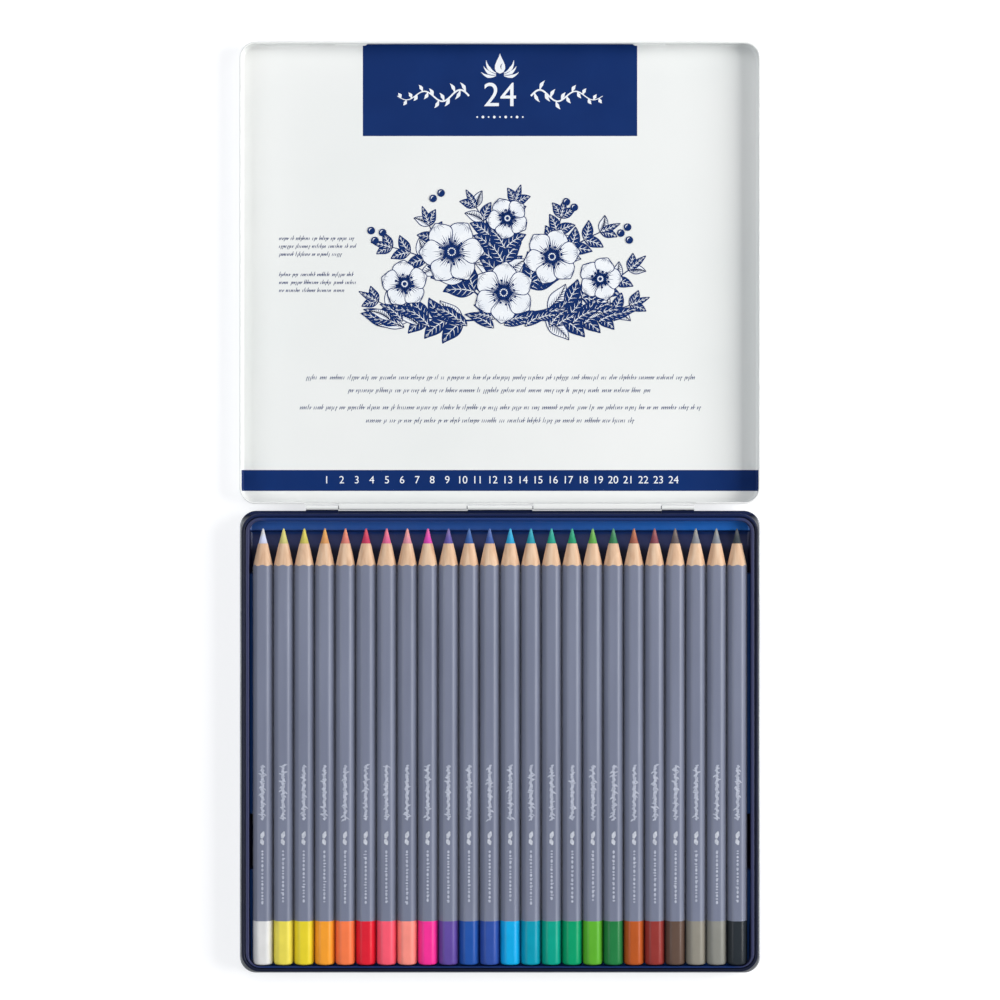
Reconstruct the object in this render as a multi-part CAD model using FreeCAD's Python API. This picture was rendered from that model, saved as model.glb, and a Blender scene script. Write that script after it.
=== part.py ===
import FreeCAD
import Part
import math
import os

# Watercolor pencil set: a hinged flat metal tin, its formed insert and 24 hexagonal pencils.
# Millimetres. X runs across the pencils, Y from their butts to their points, Z up.
# The origin is the middle of the tin's underside. The lid is open and lies flat behind the tray.

# Pencils
pencil_count = 24
pencil_length = 175.0
pencil_flats = 7.25          # across two opposite flats
pencil_edge_round = 1.8      # radius on the six long edges
pencil_spacing = 0.46        # air between two neighbours
lead_diameter = 3.7
lead_point_length = 6.0      # bare lead at the point
lead_tip_round = 0.35
wood_cone_length = 9.95      # from the end of the wood to the long edges
wood_land = 0.06             # width of the wood's end ring
glue_line = 0.05             # between lead and wood, on the radius
butt_round = 1.5             # the turned butt starts this far inside the long edges
butt_rise_share = 0.6        # its rise toward the point, as a part of that width
blank_overrun = 0.2          # the turned blank stands this far outside the long edges
wood_sides = 18              # flats that stand for the turned surfaces of 24 pencils
lead_sides = 10
edge_sides = 2

# Sheet metal of tray and lid
sheet = 0.3
edge_fillet = 1.6            # outer radius round floor and lid panel
tin_corner = 6.6             # corner radius of both outlines, seen from above
ledge_bend = 0.5             # outer radius where the tray wall turns into the ledge
head_room = 2.4              # from the pencils to the closed lid
skirt_gap = 0.5              # between the closed lid's edge and the ledge

# Rolled-in hem of the lid
hem_thickness = 0.8
hem_height = 1.2

# Neck and curled rim of the tray
curl_radius = 0.7
curl_corner = 7.6            # corner radius of the curl's outer edge
curl_clearance = 0.25        # from the lid's hem to the curl
rim_drop = 0.1               # the rim lies this far below the pencils' tops

# Hinge
hinge_setback = 1.35         # from the tin's rear face to the hinge axis
hinge_wire_diameter = 1.4
hinge_wire_play = 0.08       # on the radius
hinge_length = 156.0
end_knuckle_length = 13.0
middle_knuckle_length = 26.0
knuckle_gap = 0.4
knuckle_start_angle = -90    # degrees, where the leaf meets the roll
knuckle_end_angle = 200
ledge_play = 0.22            # from the hinge leaves to the ledge
notch_play = 0.5             # beside and in front of the hinge's opening in the lid's rear wall
notch_rise = 0.2             # that opening ends this far above the hem

# Snap dimples in the lid's front wall and stop dimples in its side walls
snap_spacing = 120.0
snap_width = 15.0
snap_height = 1.5
snap_depth = 1.1
snap_slant = 2.0             # each end slopes over this length
snap_above_hem = 0.4
stop_from_hinge = 24.0
stop_width = 2.4
stop_depth = 0.6
stop_slant = 0.7
dimple_slope_share = 0.33    # part of a dimple's height that slopes, on each long side
dimple_wall_share = 0.5      # sheet left beside a dimple's slopes

# Formed insert
insert_sheet = 0.5
insert_float = 0.3           # air under the insert
insert_side_gap = 0.25       # from the neck to the insert's flange
flange_width = 1.3
flange_drop = 0.5            # the flange lies this far below the rim
pocket_corner = 4.5
pocket_draft = 0.3           # lean of the pocket walls over their whole height
side_room = 1.6              # from the first pencil to the pocket's upper edge
tip_room = 3.1               # from the points to the pocket's rear wall
butt_room = 0.5              # from the butts to the pocket's front wall
deck_rise = 2.65             # from the well floor up to the groove floors
pencil_clearance = 0.3       # from a pencil to its groove
ridge_drop = 1.6             # the ridges end this far below the pencils' axes
tip_ledge_drop = 1.5
tip_ledge_width = 4.1
well_length = 18.0           # from the points to the rear deck
trough_from_butts = 38.0
trough_length = 22.0

# One overrun for all cuts
overrun = 1.0

# Flats that stand for one full turn in a section: of a small roll, inside the hem's tight fold,
# and of a fillet or hinge roll
roll_sides = 8
fold_sides = 4
fillet_sides = 12

# Worked out: pencils
hex_cos = math.cos(math.radians(30))
hex_tan = math.tan(math.radians(30))
pencil_apothem = pencil_flats / 2
edge_centre_radius = (pencil_apothem - pencil_edge_round) / hex_cos
pencil_reach = edge_centre_radius + pencil_edge_round
pencil_pitch = 2 * pencil_reach + pencil_spacing
lead_radius = lead_diameter / 2
first_pencil_x = -pencil_pitch * (pencil_count - 1) / 2
pencil_xs = [first_pencil_x + pencil_pitch * index for index in range(pencil_count)]

# Worked out: distances inward from the tin's outer face
curl_inset = hem_thickness + curl_clearance
neck_inset = curl_inset + 2 * curl_radius
flange_inset = neck_inset + insert_side_gap
pocket_inset = flange_inset + flange_width
pocket_front_inset = flange_inset + insert_sheet

# Worked out: plan sizes
tin_width = 2 * (pocket_inset + side_room + pencil_reach - first_pencil_x)
tin_depth = pocket_inset + tip_room + pencil_length + butt_room + pocket_front_inset
half_width = tin_width / 2
half_depth = tin_depth / 2
tip_y = half_depth - pocket_inset - tip_room
butt_y = tip_y - pencil_length

# Worked out: heights
insert_bottom = sheet + insert_float
well_floor = insert_bottom + insert_sheet
pencil_axis_z = well_floor + deck_rise + pencil_clearance + pencil_apothem
ridge_top = pencil_axis_z - ridge_drop
tip_ledge_top = pencil_axis_z - tip_ledge_drop
pencil_top = pencil_axis_z + pencil_apothem
rim_top = pencil_top - rim_drop
flange_top = rim_top - flange_drop
closed_height = pencil_top + head_room + sheet

# Worked out: hinge
hinge_y = half_depth + hinge_setback
hinge_z = closed_height / 2
knuckle_inner = hinge_wire_diameter / 2 + hinge_wire_play
knuckle_outer = knuckle_inner + sheet
ledge_top = hinge_z - knuckle_outer - ledge_play
skirt_edge = ledge_top + skirt_gap
notch_top = skirt_edge + hem_height + notch_rise
lid_knuckle_length = (hinge_length - 2 * end_knuckle_length - middle_knuckle_length) / 2 - 2 * knuckle_gap

origin = FreeCAD.Vector(0, 0, 0)
along_x = FreeCAD.Vector(1, 0, 0)
along_z = FreeCAD.Vector(0, 0, 1)


def point(across, height):
    """Point of a section, which is drawn in the XZ plane."""
    return FreeCAD.Vector(across, 0, height)


def bend(centre, radius, start, end, sides=roll_sides):
    """Evenly spaced points of an arc about a centre, between two angles in degrees."""
    steps = max(1, round(abs(end - start) * sides / 360))
    angles = [math.radians(start + (end - start) * step / steps) for step in range(steps + 1)]
    return [centre + point(radius * math.cos(angle), radius * math.sin(angle)) for angle in angles]


def section(*items):
    """Face in the XZ plane through points and bends, joined in order by straight edges."""
    corners = []
    for item in items:
        corners += item if isinstance(item, list) else [item]
    return Part.Face(Part.makePolygon(corners + corners[:1]))


def outline(side_inset, front_inset, rear_inset, corner):
    """Rounded rectangle inside the tin's outer outline: half width, front, rear and corner radius."""
    return (half_width - side_inset, front_inset - half_depth, half_depth - rear_inset, corner)


def even_outline(inset, corner):
    """Rounded rectangle at one distance from the tin's outer outline."""
    return outline(inset, inset, inset, corner)


def corner_centres(shape):
    """Centres of the four corner arcs: rear right, rear left, front left, front right."""
    half_x, front, rear, corner = shape
    return [(half_x - corner, rear - corner), (corner - half_x, rear - corner),
            (corner - half_x, front + corner), (half_x - corner, front + corner)]


def outline_wire(shape, z):
    """Closed wire of a rounded rectangle at one height."""
    corner = shape[3]
    arcs = []
    for quarter, (x, y) in enumerate(corner_centres(shape)):
        angles = [math.radians(90 * quarter + step) for step in (0, 45, 90)]
        arcs.append([FreeCAD.Vector(x + corner * math.cos(angle), y + corner * math.sin(angle), z)
                     for angle in angles])
    edges = []
    for arc, following in zip(arcs, arcs[1:] + arcs[:1]):
        edges.append(Part.Arc(*arc).toShape())
        edges.append(Part.makeLine(arc[-1], following[0]))
    return Part.Wire(edges)


def plate(shape, bottom, top):
    """Flat plate with a rounded rectangle's outline."""
    face = Part.Face(outline_wire(shape, bottom))
    return face.extrude(FreeCAD.Vector(0, 0, top - bottom))


def carried_round(face, shape):
    """Carry a section, drawn outward from the outline's edge, round a rounded rectangle."""
    centres = corner_centres(shape)
    pieces = []
    for quarter, (x, y) in enumerate(centres):
        placed = face.copy()
        placed.translate(FreeCAD.Vector(shape[3], 0, 0))
        placed.rotate(origin, along_z, 90 * quarter)
        placed.translate(FreeCAD.Vector(x, y, 0))
        pieces.append(placed.revolve(FreeCAD.Vector(x, y, 0), along_z, 90))
        before_x, before_y = centres[quarter - 1]
        pieces.append(placed.extrude(FreeCAD.Vector(before_x - x, before_y - y, 0)))
    return pieces[0].fuse(pieces[1:])


def knuckle_roll():
    """Outer and inner bends of a hinge roll about the axis."""
    return (bend(origin, knuckle_outer, knuckle_start_angle, knuckle_end_angle, fillet_sides),
            bend(origin, knuckle_inner, knuckle_end_angle, knuckle_start_angle, fillet_sides))


def rear_profile(face, start_x, length):
    """Push a section, drawn rearward and upward from the hinge axis, along the hinge."""
    placed = face.copy()
    placed.rotate(origin, along_z, 90)
    placed.translate(FreeCAD.Vector(start_x, hinge_y, hinge_z))
    return placed.extrude(FreeCAD.Vector(length, 0, 0))


def block(x_range, y_range, z_range):
    """Plain block between pairs of limits, for cuts and fills."""
    size = [high - low for low, high in (x_range, y_range, z_range)]
    return Part.makeBox(*size, FreeCAD.Vector(x_range[0], y_range[0], z_range[0]))


def joined(first, *others):
    """One solid from pieces that touch or overlap, without the seams between them."""
    fused = first.fuse(list(others)) if others else first
    return fused.removeSplitter().Solids[0]


def skinned(rings):
    """Solid whose flat sides join rings of points, each ring with as many points as the next."""
    faces = [Part.Face(Part.makePolygon(ring + ring[:1])) for ring in (rings[0], rings[-1])]
    for near, far in zip(rings, rings[1:]):
        for side in range(len(near)):
            corners = [near[side - 1], near[side], far[side], far[side - 1]]
            faces.append(Part.Face(Part.makePolygon(corners + corners[:1])))
    return Part.Solid(Part.Shell(faces))


# Pencils

def pencil_prism():
    """Six-sided bar with rounded long edges and a flat upward, from the point back to the butt."""
    corners = []
    for side in range(6):
        normal = 90 + 60 * side
        middle = math.radians(normal + 30)
        centre = point(edge_centre_radius * math.cos(middle), edge_centre_radius * math.sin(middle))
        corners.append(bend(centre, pencil_edge_round, normal, normal + 60, 6 * edge_sides))
    return section(*corners).extrude(FreeCAD.Vector(0, -pencil_length, 0))


def turned(stations, sides):
    """Many-sided solid about the pencil's axis, through pairs of radius and distance from the point."""
    angles = [math.radians(360 * side / sides) for side in range(sides)]
    return skinned([[FreeCAD.Vector(radius * math.cos(angle), -distance, radius * math.sin(angle))
                     for angle in angles] for radius, distance in stations])


def pencil_blank():
    """Sharpened cone, straight body and rounded butt, all turned."""
    outer = pencil_reach + blank_overrun
    wood_start = lead_radius + glue_line + wood_land
    cone_slope = wood_cone_length / (pencil_reach - wood_start)
    cone_end = lead_point_length + cone_slope * (outer - wood_start)
    butt_start = pencil_length - butt_rise_share * (butt_round + blank_overrun)
    return turned([(wood_start, lead_point_length), (outer, cone_end), (outer, butt_start),
                   (pencil_reach - butt_round, pencil_length)], wood_sides)


def pencil_casing():
    """Cedar casing: the prism inside the turned blank, which scallops the lacquer's edge."""
    bore_radius = lead_radius + glue_line
    bore = turned([(bore_radius, 0), (bore_radius, pencil_length)], lead_sides)
    return joined(pencil_prism().common(pencil_blank()).cut(bore))


def pencil_core():
    """Colour lead with its sharpened point."""
    return turned([(lead_tip_round, 0), (lead_radius, lead_point_length), (lead_radius, pencil_length)],
                  lead_sides)


# Tray of the tin

def tray_wall():
    """Rounded floor edge, side wall and the bend into the ledge."""
    low = point(-edge_fillet, edge_fillet)
    high = point(-ledge_bend, ledge_top - ledge_bend)
    wall = section(bend(low, edge_fillet, -90, 0, fillet_sides), bend(high, ledge_bend, 0, 90),
                   bend(high, ledge_bend - sheet, 90, 0), bend(low, edge_fillet - sheet, 0, -90, fillet_sides))
    return carried_round(wall, even_outline(0, tin_corner))


def tray_neck():
    """Upright neck that ends in an outward roll."""
    roll = point(-curl_radius, rim_top - curl_radius)
    inner_face = -2 * curl_radius
    ledge_bottom = ledge_top - sheet
    neck = section(point(inner_face, ledge_bottom), bend(roll, curl_radius, 180, -90),
                   bend(roll, curl_radius - sheet, -90, 180), point(inner_face + sheet, ledge_bottom))
    return carried_round(neck, even_outline(curl_inset, curl_corner))


def tray_knuckle(start_x, length):
    """Hinge leaf from the neck, rolled round the wire."""
    reach = -hinge_setback - neck_inset
    leaf = section(point(reach, -knuckle_outer), *knuckle_roll(), point(reach, -knuckle_inner))
    return rear_profile(leaf, start_x, length)


def base_tin():
    """Drawn tray: floor, wall, ledge, neck with rolled rim, and three hinge knuckles."""
    floor = plate(even_outline(edge_fillet, tin_corner - edge_fillet), 0, sheet)
    ledge = plate(even_outline(ledge_bend, tin_corner - ledge_bend), ledge_top - sheet, ledge_top)
    opening = plate(even_outline(neck_inset, curl_corner - 2 * curl_radius), 0, closed_height)
    knuckles = [tray_knuckle(-hinge_length / 2, end_knuckle_length),
                tray_knuckle(-middle_knuckle_length / 2, middle_knuckle_length),
                tray_knuckle(hinge_length / 2 - end_knuckle_length, end_knuckle_length)]
    return joined(floor, tray_wall(), ledge.cut(opening), tray_neck(), *knuckles)


def hinge_pin():
    """Straight steel wire through all knuckles."""
    start = FreeCAD.Vector(-hinge_length / 2, hinge_y, hinge_z)
    return Part.makeCylinder(hinge_wire_diameter / 2, hinge_length, start, along_x)


# Lid, built closed and then turned open about the hinge

def lid_wall():
    """Rounded panel edge, skirt and rolled-in hem."""
    high = point(-edge_fillet, closed_height - edge_fillet)
    hem_radius = hem_thickness / 2
    low = point(-hem_radius, skirt_edge + hem_radius)
    hem_top = skirt_edge + hem_height
    wall = section(bend(high, edge_fillet, 90, 0, fillet_sides), bend(low, hem_radius, 0, -180),
                   point(-hem_thickness, hem_top), point(sheet - hem_thickness, hem_top),
                   bend(low, hem_radius - sheet, -180, 0, fold_sides),
                   bend(high, edge_fillet - sheet, 0, 90, fillet_sides))
    return carried_round(wall, even_outline(0, tin_corner))


def lid_knuckle(start_x, length):
    """Hinge leaf that drops from the lid's rear wall and rolls round the wire."""
    outer_face = -hinge_setback
    inner_face = outer_face - sheet
    corner = point(inner_face + ledge_bend, ledge_bend - knuckle_outer)
    top = notch_top - hinge_z
    leaf = section(point(inner_face, top), bend(corner, ledge_bend, 180, 270), *knuckle_roll(),
                   bend(corner, ledge_bend - sheet, 270, 180), point(outer_face, top))
    return rear_profile(leaf, start_x, length)


def pressing(width, height, slant, depth, near):
    """Tapered block along +Y from a start distance, for a dimple pressed into a wall."""
    narrow_width = width - 2 * slant
    narrow_height = height * (1 - 2 * dimple_slope_share)
    rings = []
    for y, half_x, half_z in ((near, width / 2, height / 2),
                              (near + depth, narrow_width / 2, narrow_height / 2)):
        rings.append([FreeCAD.Vector(-half_x, y, -half_z), FreeCAD.Vector(half_x, y, -half_z),
                      FreeCAD.Vector(half_x, y, half_z), FreeCAD.Vector(-half_x, y, half_z)])
    return skinned(rings)


def dimple(width, slant, depth, turn, place):
    """Metal pushed inward and the hollow left outside, placed on a wall."""
    grown = sheet * dimple_wall_share
    pushed = pressing(width + 2 * grown, snap_height + 2 * grown, slant, depth, sheet)
    hollow = pressing(width, snap_height, slant, depth, 0)
    for piece in (pushed, hollow):
        piece.rotate(origin, along_z, turn)
        piece.translate(place)
    return pushed, hollow


def closed_lid():
    """Drawn lid in its closed place."""
    panel = plate(even_outline(edge_fillet, tin_corner - edge_fillet), closed_height - sheet, closed_height)
    shell = joined(panel, lid_wall())
    notch_half = hinge_length / 2 + notch_play
    rear_wall = (half_depth - hem_thickness - notch_play, half_depth + overrun)
    shell = shell.cut(block((-notch_half, notch_half), rear_wall, (skirt_edge - overrun, notch_top)))
    first_knuckle = -hinge_length / 2 + end_knuckle_length + knuckle_gap
    shell = joined(shell, lid_knuckle(first_knuckle, lid_knuckle_length),
                   lid_knuckle(-first_knuckle - lid_knuckle_length, lid_knuckle_length))
    dimple_z = skirt_edge + hem_height + snap_above_hem + snap_height / 2
    for side in (-1, 1):
        front_place = FreeCAD.Vector(side * snap_spacing / 2, -half_depth, dimple_z)
        side_place = FreeCAD.Vector(side * half_width, half_depth - stop_from_hinge, dimple_z)
        for pushed, hollow in (dimple(snap_width, snap_slant, snap_depth, 0, front_place),
                               dimple(stop_width, stop_slant, stop_depth, 90 * side, side_place)):
            shell = shell.fuse(pushed).cut(hollow)
    return joined(shell)


def open_lid():
    """Lid turned back by half a turn, as it lies on the table."""
    lid = closed_lid()
    lid.rotate(FreeCAD.Vector(0, hinge_y, hinge_z), along_x, 180)
    return lid


# Formed insert

def pocket_block(bottom, grown):
    """Block that fills the pocket up to the flange: its walls lean outward with height."""
    corner = pocket_corner + grown
    top = outline(pocket_inset - grown, pocket_front_inset - grown, pocket_inset - grown, corner)
    lean = pocket_draft * (flange_top - bottom) / (flange_top - well_floor)
    wall = section(point(-corner, bottom), point(-lean, bottom), point(0, flange_top), point(-corner, flange_top))
    half_x, front, rear, corner = top
    middle = block((corner - half_x, half_x - corner), (front + corner, rear - corner), (bottom, flange_top))
    return joined(middle, carried_round(wall, top))


def grooved_prism(y_range, sink, bottom):
    """Bar across the insert with a six-sided groove under every pencil, sunk by a sheet if asked."""
    apothem = pencil_apothem + pencil_clearance + sink
    ridge = ridge_top - sink
    floor_half = apothem * hex_tan
    ridge_half = apothem / hex_cos - (pencil_axis_z - ridge) * hex_tan
    groove_floor = pencil_axis_z - apothem
    corners = [point(-half_width, bottom), point(-half_width, ridge)]
    for x in pencil_xs:
        corners += [point(x - ridge_half, ridge), point(x - floor_half, groove_floor),
                    point(x + floor_half, groove_floor), point(x + ridge_half, ridge)]
    corners += [point(half_width, ridge), point(half_width, bottom)]
    bar = section(*corners).extrude(FreeCAD.Vector(0, y_range[1] - y_range[0], 0))
    bar.translate(FreeCAD.Vector(0, y_range[0], 0))
    return bar


def insert_tray():
    """Thermoformed sheet: flange, leaning pocket, tip ledge, well, two grooved decks and a trough."""
    outside = pocket_block(insert_bottom, insert_sheet)
    flange = plate(even_outline(flange_inset, curl_corner - 2 * curl_radius - insert_side_gap),
                   flange_top - insert_sheet, flange_top)
    tray = outside.fuse(flange).cut(pocket_block(well_floor, 0))
    across = (-half_width, half_width)
    rear_deck = (butt_y + trough_from_butts + trough_length, tip_y - well_length)
    front_deck = (-half_depth, butt_y + trough_from_butts)
    ledge_front = half_depth - pocket_inset - tip_ledge_width
    below = insert_bottom - overrun
    ledge = block(across, (ledge_front, half_depth), (insert_bottom, tip_ledge_top))
    fills = [grooved_prism(deck, 0, insert_bottom) for deck in (rear_deck, front_deck)]
    for fill in fills + [ledge]:
        tray = tray.fuse(fill.common(outside))
    hollows = [grooved_prism((rear_deck[0] + insert_sheet, rear_deck[1] - insert_sheet), insert_sheet, below),
               grooved_prism((front_deck[0], front_deck[1] - insert_sheet), insert_sheet, below),
               block(across, (ledge_front + insert_sheet, half_depth), (below, tip_ledge_top - insert_sheet))]
    for hollow in hollows:
        tray = tray.cut(hollow)
    return joined(tray)


# Nodes

os.makedirs("parts", exist_ok=True)
pieces = {"base_tin": base_tin(), "hinge_pin": hinge_pin(), "lid": open_lid(), "insert_tray": insert_tray()}
casing = pencil_casing()
core = pencil_core()
for number, x in enumerate(pencil_xs, start=1):
    for name, solid in (("casing", casing), ("core", core)):
        placed = solid.copy()
        placed.translate(FreeCAD.Vector(x, tip_y, pencil_axis_z))
        pieces[f"pencil_{number:02d}_{name}"] = placed
for name, solid in pieces.items():
    solid.exportStep(f"parts/{name}.step")
print("tin", round(tin_width, 2), "x", round(tin_depth, 2), "x", round(closed_height, 2), "mm closed")
print("pencil pitch", round(pencil_pitch, 3), "mm,", len(pieces), "pieces")
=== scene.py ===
# %% [markdown]
# A hinged flat tin of 24 watercolor pencils, dressed for the camera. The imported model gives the
# exact places of tray, lid, wire, insert and pencils. Each piece below stands on one of them and
# moves with the same body, so the lid still closes and every pencil still lifts out.

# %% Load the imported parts
import math
import random

import bmesh
import bpy
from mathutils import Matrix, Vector


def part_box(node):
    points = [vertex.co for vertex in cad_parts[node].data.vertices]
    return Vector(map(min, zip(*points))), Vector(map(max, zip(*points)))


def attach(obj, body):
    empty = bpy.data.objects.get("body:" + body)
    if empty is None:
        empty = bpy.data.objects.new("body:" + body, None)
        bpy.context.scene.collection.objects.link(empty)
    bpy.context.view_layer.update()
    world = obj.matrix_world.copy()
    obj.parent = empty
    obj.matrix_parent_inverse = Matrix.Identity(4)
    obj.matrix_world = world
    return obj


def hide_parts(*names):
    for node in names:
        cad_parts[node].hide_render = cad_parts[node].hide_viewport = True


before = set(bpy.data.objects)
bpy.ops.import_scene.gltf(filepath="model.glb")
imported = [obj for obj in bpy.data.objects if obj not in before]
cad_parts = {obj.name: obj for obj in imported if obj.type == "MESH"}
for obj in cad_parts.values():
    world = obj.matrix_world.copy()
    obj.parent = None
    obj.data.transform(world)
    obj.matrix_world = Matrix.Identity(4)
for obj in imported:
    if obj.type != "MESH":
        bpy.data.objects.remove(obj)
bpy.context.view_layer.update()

# %% [markdown]
# Every length in this lesson is in millimetres, as on a maker's drawing, and the helpers turn it
# into metres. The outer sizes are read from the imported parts, so the dressed tin can't drift away
# from them.

# %% Read the main sizes
mm = 0.001


def box_mm(node):
    """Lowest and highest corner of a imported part, in millimetres."""
    low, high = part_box(node)
    return low / mm, high / mm


tray_low, tray_high = box_mm("base_tin")
lid_high = box_mm("lid")[1]
insert_low, insert_high = box_mm("insert_tray")
half_width = tray_high.x
half_depth = -tray_low.y
rim_top = tray_high.z
lid_middle = lid_high.y - half_depth
lid_rear = lid_middle - half_depth
hinge_y = lid_middle / 2
hinge_z = 7.0
print("tin", round(2 * half_width, 1), "x", round(2 * half_depth, 1), "mm")

# %% [markdown]
# The photograph looks straight down through a long lens, so the sides of the tin hardly show. One
# pixel is 0.4039 mm at the table, and the picture's middle lies just behind the hinge. A lens
# that long keeps near and far at almost one scale, which is why the camera hangs 1.34 m up.

# %% Hang the camera
scene = bpy.context.scene
picture_pixels = 1000
pixel_at_table = 0.4039
camera_height = 1341.0
camera_y = 97.24
sensor_width = 36.0

camera_data = bpy.data.cameras.new("overhead_camera")
camera_data.sensor_width = sensor_width
camera_data.lens = sensor_width * camera_height / (picture_pixels * pixel_at_table)
camera_data.clip_start = 100 * mm
camera_data.clip_end = 20000 * mm
camera = bpy.data.objects.new("overhead_camera", camera_data)
camera.location = Vector((0, camera_y, camera_height)) * mm
scene.collection.objects.link(camera)
scene.camera = camera
print("lens", round(camera_data.lens, 1), "mm")

# %% [markdown]
# Light and finishes are both made of nodes, so three small helpers come first: one that adds a
# node and fills its sockets, one that reads a place, and one that turns a strength into a colour.

# %% Helpers for nodes
def paint(red, green, blue):
    """A colour read from a paint card, 0 to 255, as the shader wants it."""
    return tuple((c / 255 / 12.92 if c <= 10 else ((c / 255 + 0.055) / 1.055) ** 2.4)
                 for c in (red, green, blue)) + (1.0,)


def new_node(tree, kind, inputs=None, operation=None):
    """Add a node; an input takes an even value, or a link when it is given a node's output."""
    node = tree.nodes.new("ShaderNode" + kind)
    if operation:
        node.operation = operation
    for name, value in (inputs or {}).items():
        if isinstance(value, bpy.types.NodeSocket):
            tree.links.new(value, node.inputs[name])
        else:
            node.inputs[name].default_value = value
    return node


def along_axis(tree, coordinates, axis):
    """One coordinate of the place that is being shaded."""
    where = new_node(tree, "TexCoord").outputs[coordinates]
    return new_node(tree, "SeparateXYZ", {"Vector": where}).outputs[axis]


def colour_ramp(tree, strength, stops):
    """Colour that runs between stops: pairs of place, 0 to 1, and colour."""
    ramp = new_node(tree, "ValToRGB", {"Fac": strength})
    elements = ramp.color_ramp.elements
    while len(elements) < len(stops):
        elements.new(0.5)
    for element, (place, colour) in zip(elements, stops):
        element.position = place
        element.color = colour
    return ramp.outputs["Color"]


print("node helpers ready")

# %% [markdown]
# The catalogue picture stands on plain white with soft light. A large lamp to the right, 30
# degrees above the table, makes the right facets of the pencils paler than the left ones; higher,
# it would lose them, and lower, it would lay a broad shade on the lid. A wide lamp behind fills
# the lid and a third one lifts the left sides. The sky is pale near the table and dark overhead,
# so it softens the shadows and the navy surfaces don't mirror it. Standard colour keeps the
# paints as they are mixed.

# %% Light the table
scene.view_settings.view_transform = "Standard"
lamp_aim = Vector((0, 90, 0))


def soft_lamp(name, place, size, watts, tint):
    """A square softbox that looks at the middle of the table, in millimetres."""
    lamp_data = bpy.data.lights.new(name, "AREA")
    lamp_data.shape = "SQUARE"
    lamp_data.size = size * mm
    lamp_data.energy = watts
    lamp_data.color = tint
    lamp = bpy.data.objects.new(name, lamp_data)
    lamp.location = Vector(place) * mm
    lamp.rotation_euler = (lamp_aim - Vector(place)).to_track_quat("-Z", "Y").to_euler()
    scene.collection.objects.link(lamp)


soft_lamp("key_softbox", (1460, 150, 850), 1080, 31.3, (1.0, 0.99, 0.97))
soft_lamp("top_softbox", (-100, 950, 1500), 900, 5.6, (1.0, 1.0, 1.0))
soft_lamp("left_softbox", (-1100, 0, 1000), 800, 7.2, (0.95, 0.97, 1.0))

world = bpy.data.worlds.new("pale_sky")
scene.world = world
world.use_nodes = True
sky = world.node_tree
sky_greys = [(0.0, 0.80), (0.55, 0.95), (0.8, 0.55), (0.93, 0.1), (1.0, 0.05)]
sky_colour = colour_ramp(sky, along_axis(sky, "Generated", "Z"),
                         [(height, (0.95 * grey, 0.97 * grey, grey, 1.0))
                          for height, grey in sky_greys])
sky.links.new(sky_colour, sky.nodes["Background"].inputs["Color"])
sky.nodes["Background"].inputs["Strength"].default_value = 0.435

# %% [markdown]
# A finish is a small recipe: one shader, and a few noises that move its colour, its gloss and its
# surface a little, because no real lacquer, wood or foil is even. The noises are read in the
# piece's own coordinates, so the pattern stays on the piece when the lid turns or a pencil lifts.

# %% Helpers for finishes
def shader_of(finish):
    """The sockets of a finish's one shader."""
    return finish.node_tree.nodes["Principled BSDF"].inputs


def new_finish(name, colour, roughness, **sockets):
    """A material with one shader whose even values sit on its own sockets."""
    finish = bpy.data.materials.new(name)
    finish.use_nodes = True
    shader = shader_of(finish)
    shader["Base Color"].default_value = colour
    shader["Roughness"].default_value = roughness
    for socket, value in sockets.items():
        shader[socket.replace("_", " ")].default_value = value
    finish.diffuse_color = colour
    return finish


def noise_in(finish, scale, detail=3.0, stretch=(1, 1, 1), distortion=0.0):
    """Strength of a noise in the piece's own metres, stretched along its grain."""
    tree = finish.node_tree
    where = new_node(tree, "TexCoord").outputs["Object"]
    mapped = new_node(tree, "Mapping", {"Vector": where, "Scale": stretch}).outputs["Vector"]
    return new_node(tree, "TexNoise", {"Vector": mapped, "Scale": scale, "Detail": detail,
                                       "Distortion": distortion}).outputs["Fac"]


def place_in(finish, axis, low, high, mirrored=False):
    """0 to 1 between two places along an axis; mirrored counts both sides alike."""
    tree = finish.node_tree
    place = along_axis(tree, "Object", axis)
    if mirrored:
        place = new_node(tree, "Math", {0: place}, "ABSOLUTE").outputs["Value"]
    return new_node(tree, "MapRange", {"Value": place, "From Min": low * mm,
                                       "From Max": high * mm}).outputs["Result"]


def stirred(finish, main, noise, share):
    """One strength with a share of another stirred in."""
    inputs = {0: noise, 1: share, 2: main}
    return new_node(finish.node_tree, "Math", inputs, "MULTIPLY_ADD").outputs["Value"]


def where_both(finish, first, second):
    """Two strengths multiplied: strong only where both are."""
    inputs = {0: first, 1: second}
    return new_node(finish.node_tree, "Math", inputs, "MULTIPLY").outputs["Value"]


def zone_in(finish, axis, low, high, soft):
    """1 between two places along an axis, 0 elsewhere, with soft ends."""
    return where_both(finish, place_in(finish, axis, low - soft, low + soft),
                      place_in(finish, axis, high + soft, high - soft))


print("noise and place helpers ready")

# %% Helpers that paint a finish
def vary_colour(finish, strength, stops):
    """Colour that wanders between stops: pairs of place, 0 to 1, and colour."""
    tree = finish.node_tree
    tree.links.new(colour_ramp(tree, strength, stops), shader_of(finish)["Base Color"])


def two_tone(finish, low_tone, high_tone, *grain):
    """Colour that wanders between two paints, in a noise of some scale, detail and stretch."""
    vary_colour(finish, noise_in(finish, *grain),
                [(0.3, paint(*low_tone)), (0.7, paint(*high_tone))])


def washed(finish, share, colour):
    """A wash of another colour over a finish, as strong as a share from 0 to 1."""
    tree = finish.node_tree
    base = shader_of(finish)["Base Color"]
    wash = new_node(tree, "MixRGB", {"Fac": share, "Color1": base.links[0].from_socket,
                                     "Color2": colour})
    tree.links.new(wash.outputs["Color"], base)


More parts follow.
